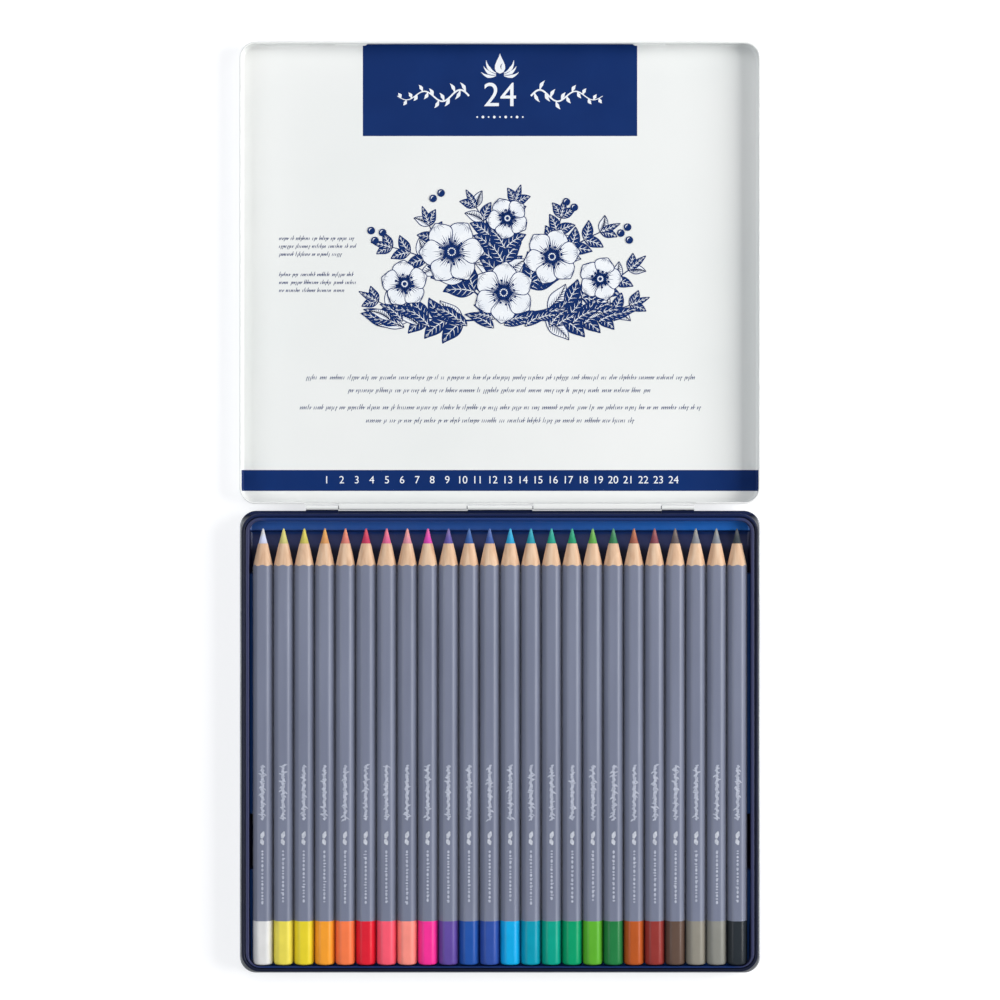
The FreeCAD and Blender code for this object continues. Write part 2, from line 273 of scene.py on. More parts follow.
def vary_gloss(finish, low, high, *grain):
    """Roughness that wanders between two values, in such a noise."""
    tree = finish.node_tree
    span = new_node(tree, "MapRange", {"Value": noise_in(finish, *grain), "From Min": 0.3,
                                       "From Max": 0.7, "To Min": low, "To Max": high})
    tree.links.new(span.outputs["Result"], shader_of(finish)["Roughness"])


def relief(finish, *layers):
    """Bumps stacked on each other: each a depth in millimetres and the grain of its noise."""
    tree = finish.node_tree
    below = {}
    for depth, *grain in layers:
        bump = new_node(tree, "Bump", {"Strength": 1.0, "Distance": depth * mm,
                                       "Height": noise_in(finish, *grain), **below})
        below = {"Normal": bump.outputs["Normal"]}
    tree.links.new(below["Normal"], shader_of(finish)["Normal"])


def shade(colour, factor):
    """The same paint, darker or lighter."""
    return tuple(min(1.0, c * factor) for c in colour[:3]) + (1.0,)


print("finish helpers ready")

# %% [markdown]
# The tin is tinplate with baked lacquer. The lid is white outside and inside. The tray is navy on
# its neck, its rolled rim and all its inside, and a little bluer toward the hinge. Baked lacquer
# has a faint orange peel over the slow waviness of the sheet, and a thin clear coat gives its
# soft gloss. The roughness stays near 0.35: below about 0.28, faint specks were left in the
# smooth areas of the picture.

# %% Lacquers of the tin
orange_peel = (400.0, 1.0)
white_paint = paint(236, 238, 237)
white_lacquer = new_finish("white_lacquer", white_paint, 0.38, Coat_Weight=0.2,
                           Coat_Roughness=0.25)
two_tone(white_lacquer, (228, 231, 230), (236, 237, 236), 9.0)
vary_gloss(white_lacquer, 0.33, 0.42, 60.0)
relief(white_lacquer, (0.25, 12.0, 1.0), (0.004, *orange_peel))

navy_paint = paint(18, 47, 104)
navy_lacquer = new_finish("navy_lacquer", navy_paint, 0.42, Specular_IOR_Level=0.18,
                          Coat_Weight=0.03, Coat_Roughness=0.3)
two_tone(navy_lacquer, (9, 15, 36), (14, 22, 48), 30.0)
washed(navy_lacquer, place_in(navy_lacquer, "Y", 86.0, 91.0), paint(13, 28, 70))
vary_gloss(navy_lacquer, 0.38, 0.5, 80.0)
relief(navy_lacquer, (0.005, *orange_peel))
print("lacquers:", white_lacquer.name, navy_lacquer.name)

# %% [markdown]
# Outside, the tray is bare tinplate: a pale grey metal with faint lines round the wall from
# drawing. The ledge under the hinge is navy, and the wash lets the bare ledge darken toward it at
# the corners.

# %% Bare tinplate
round_the_wall = (0.06, 0.06, 1)
bare_tin = new_finish("bare_tin", paint(168, 171, 175), 0.42, Metallic=0.7)
two_tone(bare_tin, (138, 141, 146), (158, 161, 165), 700.0, 3.0, round_the_wall)
washed(bare_tin, where_both(bare_tin, place_in(bare_tin, "Y", 88.4, 90.9),
                            place_in(bare_tin, "Z", 4.9, 5.4)), paint(17, 24, 50))
vary_gloss(bare_tin, 0.36, 0.5, 60.0)
relief(bare_tin, (0.006, 1200.0, 1.0, round_the_wall))
print("outside of the tray:", bare_tin.name)

# %% [markdown]
# The print on the lid is a thin layer of navy ink over the white lacquer. It is a little flatter
# than the lacquer and takes the same orange peel. White ink draws the lines on the navy fields.

# %% Inks of the lid's print
navy_ink = new_finish("navy_ink", navy_paint, 0.55, Specular_IOR_Level=0.15)
two_tone(navy_ink, (2, 38, 96), (5, 43, 103), 45.0)
vary_gloss(navy_ink, 0.45, 0.56, 120.0)
relief(navy_ink, (0.004, *orange_peel))

white_ink = new_finish("white_ink", white_paint, 0.45)
two_tone(white_ink, (226, 231, 238), (237, 240, 243), 200.0)
relief(white_ink, (0.004, *orange_peel))
print("inks:", navy_ink.name, white_ink.name)

# %% [markdown]
# The hinge wire is drawn steel, so its scratches run along it. The noise is stretched across X to
# lie that way.

# %% Drawn steel
along_wire = (0.05, 1, 1)
steel_wire = new_finish("drawn_steel", paint(168, 170, 174), 0.3, Metallic=1.0)
two_tone(steel_wire, (150, 152, 157), (186, 188, 192), 500.0, 3.0, along_wire)
vary_gloss(steel_wire, 0.29, 0.42, 700.0, 3.0, along_wire)
relief(steel_wire, (0.01, 1500.0, 3.0, (0.03, 1, 1)))
print("wire:", steel_wire.name)

# %% [markdown]
# Sheet metal and film are built from rings. A ring is a rounded rectangle at some inset from the
# tin's outer edge, and a wall is a list of rings from its first edge to its last. This way a
# wall, a curl or a hem is one clean strip of faces, round where the real sheet is round, and the
# inside and outside of the sheet are the two halves of one list.

# %% Helpers for rings
corner_steps = 16


def places_round(stops):
    """Columns round a rounded rectangle: corner angles, and stops along its straight sides."""
    places = []
    for quarter in range(4):
        for step in range(corner_steps + 1):
            places.append(("corner", quarter, 90 * quarter + 90 * step / corner_steps))
        for stop in sorted(stops.get(quarter, []), reverse=quarter < 2):
            places.append(("side", quarter, stop))
    return places


def ring(inset, corner, z, places, middle_y=0.0, front_inset=None):
    """Points of one ring, counted from the right rear corner."""
    half_x = half_width - inset
    high_y = half_depth - inset
    low_y = (inset if front_inset is None else front_inset) - half_depth
    centres = [(half_x - corner, high_y - corner), (corner - half_x, high_y - corner),
               (corner - half_x, low_y + corner), (half_x - corner, low_y + corner)]
    points = []
    for kind, quarter, where in places:
        if kind == "corner":
            x = centres[quarter][0] + corner * math.cos(math.radians(where))
            y = centres[quarter][1] + corner * math.sin(math.radians(where))
        else:
            x, y = [(where, high_y), (-half_x, where), (where, low_y), (half_x, where)][quarter]
        points.append(Vector((x, y + middle_y, z)))
    return points


def arc(centre, radius, start, end, steps=6, outward=-1):
    """Points of a bend in a section; with outward -1 angle 0 points to a smaller inset."""
    turns = [math.radians(start + (end - start) * step / steps) for step in range(steps + 1)]
    return [(centre[0] + outward * radius * math.cos(turn), centre[1] + radius * math.sin(turn))
            for turn in turns]


print("ring helpers ready")

# %% Helpers for pieces
cap_corners = 9


def new_piece(name, points, faces, finish, body, slot, sharp_over=35.0, closed=True):
    """A piece from points in millimetres, smooth except at edges sharper than an angle."""
    mesh = bpy.data.meshes.new(name)
    mesh.from_pydata([Vector(point) * mm for point in points], [], faces)
    work = bmesh.new()
    work.from_mesh(mesh)
    if closed:
        bmesh.ops.recalc_face_normals(work, faces=work.faces)
    for face in work.faces:
        face.smooth = len(face.verts) < cap_corners
    for edge in work.edges:
        bend = edge.calc_face_angle() if len(edge.link_faces) == 2 else 0.0
        edge.smooth = bend < math.radians(sharp_over)
    work.to_mesh(mesh)
    work.free()
    mesh.materials.append(finish)
    piece = bpy.data.objects.new(name, mesh)
    scene.collection.objects.link(piece)
    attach(piece, body)
    return piece


def strip_faces(ring_count, columns, closed_round=True):
    """Faces between rings that lie one after the other in a list of points."""
    last = columns if closed_round else columns - 1
    return [(row * columns + column, row * columns + (column + 1) % columns,
             (row + 1) * columns + (column + 1) % columns, (row + 1) * columns + column)
            for row in range(ring_count - 1) for column in range(last)]


def wrapped(rings, capped=True):
    """Points and faces of a wall through rings, with a flat cap on its first and last ring."""
    columns = len(rings[0])
    faces = strip_faces(len(rings), columns)
    if capped:
        faces.append(tuple(range(columns)))
        faces.append(tuple(range((len(rings) - 1) * columns, len(rings) * columns)))
    return [point for one in rings for point in one], faces


def inked(piece, ink, chosen):
    """Second finish on the faces whose number a rule picks."""
    piece.data.materials.append(ink)
    for face in piece.data.polygons:
        if chosen(face.index):
            face.material_index = 1


print("piece helpers ready")

# %% [markdown]
# The tray is drawn from one sheet 0.3 mm thick: floor, rounded foot, side wall, a ledge for the
# lid to sit over, an upright neck, and a rim rolled outward so that no cut edge meets the
# fingers. The list runs up the outside of the sheet, round the roll and down the inside.

# %% Tray of the tin
sheet = 0.3
foot_radius = 1.6
floor_edge = foot_radius + 0.4
tin_corner = 6.6
ledge_top = 5.7
ledge_bend = 0.5
neck_bend = 0.5
neck_inset = 2.45
curl_radius = 0.7
curl_corner = 7.6
curl_inset = neck_inset - 2 * curl_radius
foot = (foot_radius, foot_radius)
shoulder = (ledge_bend, ledge_top - ledge_bend)
roll_middle = (curl_inset + curl_radius, rim_top - curl_radius)
neck_middle = (neck_inset - neck_bend, ledge_top - sheet + neck_bend)


def on_wall(pairs):
    """Section points of the outer wall with the corner radius each one needs."""
    return [(inset, tin_corner - inset, z) for inset, z in pairs]


def on_neck(pairs):
    """Section points of the neck and roll with the corner radius each one needs."""
    return [(inset, curl_corner + curl_inset - inset, z) for inset, z in pairs]


foot_outside = [(floor_edge, 0)] + arc(foot, foot_radius, -90, 0)
foot_inside = arc(foot, foot_radius - sheet, 0, -90) + [(floor_edge, sheet)]
outer_wall = on_wall(foot_outside + arc(shoulder, ledge_bend, 0, 90))
neck_and_roll = on_neck(arc(neck_middle, neck_bend - sheet, -90, -180)
                        + arc(roll_middle, curl_radius - sheet, 180, -90, 18)
                        + arc(roll_middle, curl_radius, -90, 180, 18)
                        + arc(neck_middle, neck_bend, 180, 270))
inner_wall = on_wall(arc(shoulder, ledge_bend - sheet, 90, 0) + foot_inside)
plain_places = places_round({})
tray_rings = [ring(inset, corner, z, plain_places)
              for inset, corner, z in outer_wall + neck_and_roll + inner_wall]
tin_tray = new_piece("tin_tray", *wrapped(tray_rings), bare_tin, "base", "tin_lacquer")
navy_from = (len(outer_wall) + 1) * len(plain_places)
ledge_from = (len(outer_wall) - 5) * len(plain_places)
wall_faces = (len(tray_rings) - 1) * len(plain_places)
rear_ledge_y = half_depth - 1.9


def navy_side(number):
    """Neck, roll and all the inside are navy, and so is the ledge behind, under the hinge."""
    rearward = tin_tray.data.polygons[number].center.y > rear_ledge_y * mm
    return (navy_from <= number < wall_faces or number == wall_faces + 1
            or ledge_from <= number < navy_from and rearward)


inked(tin_tray, navy_lacquer, navy_side)
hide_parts("base_tin")
print("tray faces:", len(tin_tray.data.polygons))

# %% [markdown]
# The lid is the same kind of drawn sheet, lying on its outer face. Its wall ends in a hem, the
# edge folded inward on itself, so it is twice as thick there and safe to touch. Two long snap
# dimples pressed into the front wall click under the roll of the tray, and a small one in each
# side stops the lid. Dimples are pressed, not cut, so both faces of the sheet move inward
# together.

# %% Wall and panel of the lid
hem_thickness = 0.8
hem_height = 1.2
hem_bevel = 0.05
hem_half = hem_thickness / 2
lid_rim = lid_high.z - 0.28
hem_middle = (hem_half, lid_rim - hem_half)
hem_end = lid_rim - hem_height
dimple_z, dimple_half_height, dimple_slope = 5.45, 1.05, 0.62
snap_xs, snap_half, snap_slope, snap_depth = (-60.0, 60.0), 7.65, 2.15, 1.1
stop_y, stop_half, stop_slope, stop_depth = -68.9, 1.35, 0.85, 0.6
wall_reach = 1.3


def plateau(away, half, slope):
    """1 on a dimple's flat, 0 outside, with a smooth slope between."""
    rise = min(1.0, max(0.0, (half - abs(away)) / slope))
    return rise * rise * (3 - 2 * rise)


def pressed(point):
    """Move a point of the lid's wall inward where a dimple is pressed."""
    local_y = point.y - lid_middle
    height = plateau(point.z - dimple_z, dimple_half_height, dimple_slope)
    if local_y > half_depth - wall_reach:
        share = max(plateau(point.x - snap_x, snap_half, snap_slope) for snap_x in snap_xs)
        point.y -= snap_depth * share * height
    elif abs(point.x) > half_width - wall_reach:
        share = plateau(local_y - stop_y, stop_half, stop_slope)
        point.x -= math.copysign(stop_depth * share * height, point.x)
    return point


snap_stops = [x + side * away for x in snap_xs for side in (-1, 1)
              for away in (2.5, 5.4, 5.8, 6.2, 6.6, 7.0, 7.4, 7.8)]
stop_stops = [stop_y + away
              for away in (-1.5, -1.2, -0.9, -0.7, -0.45, 0, 0.45, 0.7, 0.9, 1.2, 1.5)]
lid_places = places_round({0: snap_stops, 1: stop_stops, 3: stop_stops})
rises = [4.3, 4.5, 4.65, 4.8, 4.95, 5.15, 5.45, 5.75, 5.95, 6.1, 6.25, 6.4]
lid_section = on_wall(foot_outside + [(0, z) for z in rises]
                      + arc(hem_middle, hem_half, 0, 180, 12)
                      + [(hem_thickness, hem_end + hem_bevel), (hem_thickness - hem_bevel, hem_end),
                         (hem_thickness - sheet, hem_end)]
                      + arc(hem_middle, hem_half - sheet, 180, 0)
                      + [(sheet, z) for z in rises[::-1]] + foot_inside)
lid_rings = [[pressed(point) for point in ring(inset, corner, z, lid_places, lid_middle)]
             for inset, corner, z in lid_section]
tin_lid = new_piece("tin_lid", *wrapped(lid_rings), white_lacquer, "lid", "tin_lacquer")
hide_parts("lid")
print("lid faces:", len(tin_lid.data.polygons))

# %% [markdown]
# The lid's rear wall is cut low between the hinge's ends, so that the knuckles can pass. A
# boolean with a plain block is the same cut as the press makes, and the result is kept as a mesh.

# %% Opening for the hinge
def cut_away(piece, low, high):
    """Remove what lies between two corners, in millimetres, and keep the cut mesh."""
    corners = [Vector((x, y, z)) * mm for z in (low[2], high[2]) for y in (low[1], high[1])
               for x in (low[0], high[0])]
    faces = [(0, 2, 3, 1), (4, 5, 7, 6), (0, 1, 5, 4), (2, 6, 7, 3), (0, 4, 6, 2), (1, 3, 7, 5)]
    block = bpy.data.meshes.new("cutter")
    block.from_pydata(corners, [], faces)
    cutter = bpy.data.objects.new("cutter", block)
    scene.collection.objects.link(cutter)
    cut = piece.modifiers.new("cut", "BOOLEAN")
    cut.operation = "DIFFERENCE"
    cut.solver = "EXACT"
    cut.object = cutter
    bpy.context.view_layer.update()
    ready = piece.evaluated_get(bpy.context.evaluated_depsgraph_get())
    result = bpy.data.meshes.new_from_object(ready)
    piece.modifiers.remove(cut)
    piece.data = result
    bpy.data.objects.remove(cutter)


hinge_half = 78.0
notch_play = 0.5
notch_x = hinge_half + notch_play
cut_away(tin_lid, (-notch_x, lid_rear - 4, hem_end - 0.2),
         (notch_x, lid_rear + hem_thickness + notch_play, 12))
print("lid faces after the cut:", len(tin_lid.data.polygons))

# %% [markdown]
# The lid was printed flat, before it was drawn, so the navy fields run on over the soft corners
# of the sheet and up its walls. A print is built up as thin patches of ink, each a hair above the
# one before, and a stroke is a narrow band whose width swells and tapers like an engraver's line.

# %% Helpers for a print
dark_ink, light_ink = 0, 1
ink_step = 0.0012
ink_lift = 0.012
panel_top = sheet + ink_lift


def blank_print(height):
    """An empty print whose first ink lies at a height in millimetres."""
    return {"height": height, "points": [], "faces": [], "inks": []}


def lay(printed, points, faces, ink, lift=0.0):
    """Add one patch of ink; places without a height of their own take the print's."""
    first = len(printed["points"])
    height = printed["height"] + lift
    printed["points"] += [Vector(point) if len(point) > 2 else Vector((*point, height))
                          for point in points]
    printed["faces"] += [tuple(first + corner for corner in face) for face in faces]
    printed["inks"] += [ink] * len(faces)


def toward(angle):
    """A step of one millimetre at an angle in radians."""
    return Vector((math.cos(angle), math.sin(angle)))


def circle(radius, corners):
    """Steps from the middle of a circle to places round it."""
    return [toward(math.tau * k / corners) * radius for k in range(corners)]


def across_path(path, place):
    """Direction to the left of a path at one of its places."""
    along = (path[min(place + 1, len(path) - 1)] - path[max(place - 1, 0)]).normalized()
    return Vector((-along.y, along.x))


def ribbon(printed, path, widths, ink, lift=0.0):
    """A stroke along a path, with a width for its start, its middle and its end."""
    last = len(path) - 1
    sides = [[], []]
    for place, here in enumerate(path):
        share = 2 * place / last
        if share < 1:
            width = widths[0] + (widths[1] - widths[0]) * share
        else:
            width = widths[1] + (widths[2] - widths[1]) * (share - 1)
        for side, turn in zip(sides, (-0.5, 0.5)):
            side.append(here + across_path(path, place) * turn * width)
    lay(printed, sides[0] + sides[1], strip_faces(2, last + 1, False), ink, lift)


def bow(start, end, bulge, steps=10):
    """Places along a curve that bulges to its left by a share of its length."""
    start, end = Vector(start), Vector(end)
    across = Vector((start.y - end.y, end.x - start.x)) * bulge
    return [start.lerp(end, k / steps) + across * 4 * (k / steps) * (1 - k / steps)
            for k in range(steps + 1)]


print("one ink lies", ink_step, "mm above the other")

# %% Spots and figures of a print
def dot(printed, centre, radius, ink, lift=0.0, corners=14):
    """A round spot of ink."""
    places = [Vector(centre) + spoke for spoke in circle(radius, corners)]
    lay(printed, places, [tuple(range(corners))], ink, lift)


def figures(printed, text, place, height, ink):
    """Plain figures, centred on a place; they stand 0.7 of the font's size high."""
    curve = bpy.data.curves.new("figures", "FONT")
    curve.body = text
    curve.align_x = curve.align_y = "CENTER"
    curve.size = height / 0.7
    carrier = bpy.data.objects.new("figures", curve)
    scene.collection.objects.link(carrier)
    bpy.context.view_layer.update()
    ready = carrier.evaluated_get(bpy.context.evaluated_depsgraph_get())
    flat = bpy.data.meshes.new_from_object(ready)
    lay(printed, [Vector(place) + point.co.xy for point in flat.vertices],
        [face.vertices for face in flat.polygons], ink)
    bpy.data.objects.remove(carrier)
    bpy.data.meshes.remove(flat)
    bpy.data.curves.remove(curve)


def printed_piece(name, printed, inks, body, slot):
    """Turn a finished print into a piece."""
    piece = new_piece(name, printed["points"], printed["faces"], inks[0], body, slot, closed=False)
    for ink in inks[1:]:
        piece.data.materials.append(ink)
    for face, ink in zip(piece.data.polygons, printed["inks"]):
        face.material_index = ink
    print(name, "has", len(printed["faces"]), "faces")


print("print helpers ready")

# %% [markdown]
# Two navy fields lie on the lid: a strip along the hinge, which climbs both side walls, and a
# banner that climbs the front wall. Each is one sheet of ink that follows the inside of the bend.
# The strip carries the numbers of the 24 colours.

# %% Navy fields on the lid
strip_low, strip_high = 100.9, 109.35
banner_half, banner_low = 55.4, 244.2
corner_middle_y = lid_rear + tin_corner
bend_top = 2.2
wall_climb = ([(sheet + ink_lift, z) for z in (6.25, 4.0)]
              + arc(foot, foot_radius - sheet - ink_lift, 0, -90, 8))
fields = blank_print(panel_top)


def wall_x(inset, y):
    """Distance from the lid's middle to its side wall at an inset, round its rear corner too."""
    radius = tin_corner - inset
    past = max(0.0, corner_middle_y - y)
    return half_width - tin_corner + math.sqrt(radius ** 2 - past ** 2)


strip_ys = (strip_low, 101.3, 101.7, corner_middle_y, 104.0, 107.0, strip_high)
strip_points = []
for y in strip_ys:
    climb = [(wall_x(inset, y), z) for inset, z in wall_climb]
    strip_points += [(-x, y, z) for x, z in climb] + [(x, y, z) for x, z in climb[::-1]]
lay(fields, strip_points, strip_faces(len(strip_ys), 2 * len(wall_climb), False), dark_ink)

bend = [(lid_high.y - inset, z) for inset, z in wall_climb if z < bend_top]
banner_rows = [(banner_low, panel_top)] + bend[::-1]
banner_points = [(x, y, z) for y, z in banner_rows for x in (-banner_half, banner_half)]
lay(fields, banner_points, strip_faces(len(banner_rows), 2, False), dark_ink)

fields["height"] += ink_step
first_number_x, number_pitch, numbers_y, number_height = -70.0, 6.09, 105.25, 3.0
for number in range(24):
    figures(fields, str(number + 1), (first_number_x + number_pitch * number, numbers_y),
            number_height, light_ink)
print("strip and banner:", len(fields["faces"]), "faces")

# %% [markdown]
# The banner shows the plain number of pencils between two vines, and above it a drop of water
# with leaves. All of it is white ink, but for a fine line in the drop. A vine is a wave that
# calms down outward, with leaves turned up and down.

# %% White ornament of the banner
banner_y = 260.4
vine_start, vine_length, vine_wave, vine_steps = 12.5, 29.0, 2.6, 40
figures(fields, "24", (0.0, banner_y), 9.6, light_ink)
for side in (-1, 1):
    vine = [Vector((side * (vine_start + vine_length * k / vine_steps),
                    banner_y + vine_wave * math.sin(math.tau * k / 20) * (1 - k / 90)))
            for k in range(vine_steps + 1)]
    ribbon(fields, vine, (0.75, 0.6, 0.25), light_ink)
    for k in range(2, vine_steps, 3):
        up = 1 if k % 2 else -1
        turn = math.radians(62 * up) + (0 if side > 0 else math.pi)
        leaf_end = vine[k] + toward(turn) * (4.6 - 0.06 * k)
        ribbon(fields, bow(vine[k], leaf_end, 0.1 * up, 6), (0.25, 1.5, 0.05), light_ink, ink_step)
    for up in (0.0, 1.0, 2.0):
        leaf_start = (side * 1.6, 268.6 + 0.5 * up)
        leaf_end = (side * (7.6 - up), 270.0 + 2.4 * up)
        ribbon(fields, bow(leaf_start, leaf_end, -0.16 * side, 8), (0.3, 1.35, 0.1), light_ink)
drop_half = [(0.0, 277.6), (0.5, 276.2), (1.3, 274.6), (2.0, 272.9), (2.1, 271.4), (1.5, 270.1),
             (0.0, 269.4)]
drop_outline = [Vector(place) for place in drop_half + [(-x, y) for x, y in drop_half[-2:0:-1]]]
lay(fields, drop_outline, [tuple(range(len(drop_outline)))], light_ink)
ribbon(fields, bow((1.0, 273.6), (0.7, 271.0), -0.2, 6), (0.05, 0.5, 0.05), dark_ink, ink_step)
for k in range(9):
    dot(fields, (2.3 * (k - 4), 251.9), 0.55 if k % 2 else 0.35, light_ink)
printed_piece("lid_fields", fields, (navy_ink, white_ink), "lid", "tin_lacquer")

# %% [markdown]
# The picture is a bunch of flowers in the manner of an engraving: leaves solid with white veins,
# or white with hatching on their shaded side, and open petals whose strokes run out from the
# middle. White ground under each leaf hides the lines behind it, as an engraver would leave them
# out.

# %% Leaves of the picture
blade_steps = 12
outline_width = 0.34
line_lift = ink_step / 2


def blade(printed, base, tip, width, bulge, fullness, ground):
    """Ground and outline of a leaf or petal; returns its spine and its two sides."""
    spine = bow(base, tip, bulge, blade_steps)
    sides = []
    for turn in (0.5, -0.5):
        sides.append([here + across_path(spine, k) * turn * width
                      * math.sin(math.pi * (k / blade_steps) ** fullness)
                      for k, here in enumerate(spine)])
    lay(printed, sides[0] + sides[1], strip_faces(2, blade_steps + 1, False), ground)
    for side in sides:
        ribbon(printed, side, (outline_width,) * 3, dark_ink, line_lift)
    return spine, sides


def leaf(printed, base, tip, width, bulge, solid):
    """A leaf, solid with white veins or white with one side hatched."""
    ground, line = (dark_ink, light_ink) if solid else (light_ink, dark_ink)
    spine, sides = blade(printed, base, tip, width, bulge, 0.8, ground)
    ribbon(printed, spine[:-1], (0.42, 0.34, 0.15), line, line_lift)
    for side in (0, 1):
        for k in range(1, blade_steps - 1, 2 if solid else 1):
            rim = sides[side][k + 2]
            end = spine[k + 1].lerp(rim, 0.8 if solid or side else 0.45)
            ribbon(printed, bow(spine[k], end, 0.06, 3), (0.3, 0.2, 0.05), line, line_lift)
            if side and not solid:
                between = spine[k].lerp(spine[k + 1], 0.5)
                hatch = bow(between, between.lerp(rim, 0.9), 0.06, 3)
                ribbon(printed, hatch, (0.2, 0.3, 0.12), line, line_lift)
    printed["height"] += ink_step


print("steps along a leaf:", blade_steps)

# %% Petals of the picture
shading = random.Random(11)


def blossom(printed, centre, radius, petals, turn):
    """An open flower: petals one over the other, strokes from its heart, and stamens."""
    centre = Vector(centre)
    width = 1.55 * radius * math.sin(math.pi / petals)
    for petal in range(petals + 1):
        tip = centre + toward(math.radians(turn + 360 * petal / petals)) * radius
        spine, sides = blade(printed, centre, tip, width, 0.03, 1.5, light_ink)
        for share in (-0.8, -0.55, -0.3, -0.08, 0.15, 0.38, 0.6, 0.82):
            side = sides[0 if share > 0 else 1]
            path = [here.lerp(side[k], abs(share)) for k, here in enumerate(spine)]
            inner = path[1:6 + shading.randrange(3)]
            ribbon(printed, inner, (0.42, 0.36, 0.05), dark_ink, line_lift)
            outer = path[9 + shading.randrange(2):12]
            ribbon(printed, outer, (0.04, 0.16, 0.22), dark_ink, line_lift)
        printed["height"] += ink_step
    dot(printed, centre, 0.2 * radius, dark_ink, corners=20)
    for k in range(12):
        ray = toward(math.tau * k / 12 + 0.2) * radius
        end = centre + ray * (0.34 + 0.05 * (k % 2))
        thread = [centre + ray * 0.18, centre + ray * 0.27, end]
        ribbon(printed, thread, (0.3, 0.25, 0.25), dark_ink, ink_step)
        dot(printed, end, 0.5, dark_ink, ink_step, 8)
        dot(printed, centre + ray * 0.11, 0.3, light_ink, ink_step, 8)
    printed["height"] += 2 * ink_step


print("leaf and petal strokes ready")

# %% Leafy stems of the picture
picture = blank_print(panel_top)
foot_of_bunch = Vector((2.0, 172.0))
stem_steps = 24
sprays = [(172, 56, 0.10), (150, 58, -0.08), (128, 52, 0.09), (106, 50, -0.07), (84, 50, 0.06),
          (62, 50, -0.08), (40, 56, 0.08), (22, 58, -0.09), (6, 55, -0.08)]
for spray, (angle, length, bend) in enumerate(sprays):
    turn = math.radians(angle)
    tip = foot_of_bunch + Vector((math.cos(turn), 0.98 * math.sin(turn))) * length
    stem = bow(foot_of_bunch, tip, bend, stem_steps)
    ribbon(picture, stem, (0.9, 0.6, 0.35), dark_ink)
    for pair, k in enumerate(range(7, stem_steps, 3)):
        along = math.atan2(stem[k].y - stem[k - 1].y, stem[k].x - stem[k - 1].x)
        size = 15.0 - 0.36 * k
        for side in (-1, 1):
            spread = along + side * math.radians(44 + shading.uniform(-7, 7))
            end = stem[k] + toward(spread) * size
            solid = (spray + pair + (side > 0)) % 4 != 0
            leaf(picture, stem[k], end, 0.52 * size, -0.07 * side, solid)
    last_tip = stem[-1] + (stem[-1] - stem[-4]).normalized() * 4
    leaf(picture, stem[-3], last_tip, 2.6, 0.0, True)
for k in range(34):
    side = -1 if k % 2 else 1
    start = Vector((side * shading.uniform(1, 46), 166.6 + shading.uniform(0, 4.5)))
    end = start + Vector((side * shading.uniform(8, 12), shading.uniform(0.5, 7.5)))
    leaf(picture, start, end, shading.uniform(3.2, 4.6), 0.1 * side, k % 7 != 3)
print("leaves and stems:", len(picture["faces"]), "faces")

# %% Flowers and berries of the picture
blossoms = [((-38.5, 184.5), 9.6, 5, 20), ((40.5, 186.5), 9.0, 5, 70), ((3.0, 211.0), 8.6, 5, 40),
            ((21.0, 195.5), 11.6, 6, 10), ((-19.5, 197.5), 13.2, 6, 0), ((1.5, 181.0), 12.6, 6, 25)]
berries = [(-50.5, 202.0), (-47.4, 205.2), (-52.0, 206.0), (48.8, 205.0), (52.2, 202.2),
           (51.5, 207.4), (-27.0, 219.0), (-23.8, 221.2), (26.8, 217.6), (30.0, 215.4)]
for centre, radius, petals, turn in blossoms:
    blossom(picture, centre, radius, petals, turn)
for x, y in berries:
    dot(picture, (x, y), 1.55, dark_ink, corners=18)
    shine = bow((x - 0.8, y - 0.2), (x + 0.2, y + 0.9), 0.25, 5)
    ribbon(picture, shine, (0.1, 0.45, 0.1), light_ink, ink_step)
printed_piece("lid_picture", picture, (navy_ink, white_ink), "lid", "tin_lacquer")
print("ink stands", round(picture["height"] - panel_top, 3), "mm high at most")

# %% [markdown]
# The small rows of print are too fine to read from above. They are rows of slanted strokes in
# groups, with a few tall ones, which give the same grey as a line of small italic type.

# %% Rows of fine print
rows = blank_print(panel_top)
writing = random.Random(5)
below_picture = [(-78.3, 79.5, 145.9), (-61.4, 61.4, 140.7), (-80.8, 82.0, 133.8),
                 (-54.1, 54.1, 128.5)]
beside_picture = [(-58.5, 202.2), (-57.7, 199.0), (-63.5, 195.8), (-59.0, 187.6), (-57.7, 184.4),
                  (-61.0, 181.2)]


def fine_row(low_x, high_x, y, height):
    """A row of slanted strokes in groups, from one end to the other."""
    x = low_x
    while x < high_x - height:
        for _ in range(writing.randrange(2, 10)):
            if x > high_x - 0.4 * height:
                break
            tall = writing.choice((0.0, 0.0, 0.0, 0.0, 0.75, -0.5))
            base = Vector((x, y + min(0.0, tall) * height))
            top = y + height * (1 + max(0.0, tall))
            head = Vector((x + 0.3 * (top - base.y), top))
            ribbon(rows, [base, base.lerp(head, 0.5), head], (0.2, 0.26, 0.16), dark_ink)
            if writing.random() < 0.6:
                joint = Vector((x + 0.28 * height, y + 0.1 * height))
                arch = bow(joint, joint + Vector((0.5, 0.75)) * height, 0.2, 3)
                ribbon(rows, arch, (0.1, 0.16, 0.18), dark_ink)
            x += 0.62 * height
        x += 0.75 * height


for low_x, high_x, y in below_picture:
    fine_row(low_x, high_x, y, 1.25)
for high_x, y in beside_picture:
    fine_row(-89.2, high_x, y, 1.05)
printed_piece("lid_fine_print", rows, (navy_ink,), "lid", "tin_lacquer")

# %% [markdown]
# Five knuckles hold one straight wire. The tray's three have leaves that run out from the neck,
# navy where they meet it. The lid's two drop from its rear wall. Each is the same 0.3 mm sheet,
# rolled most of the way round the wire with a little play. They are drawn as one section, in
# steps away from the wire, and pushed along the hinge.

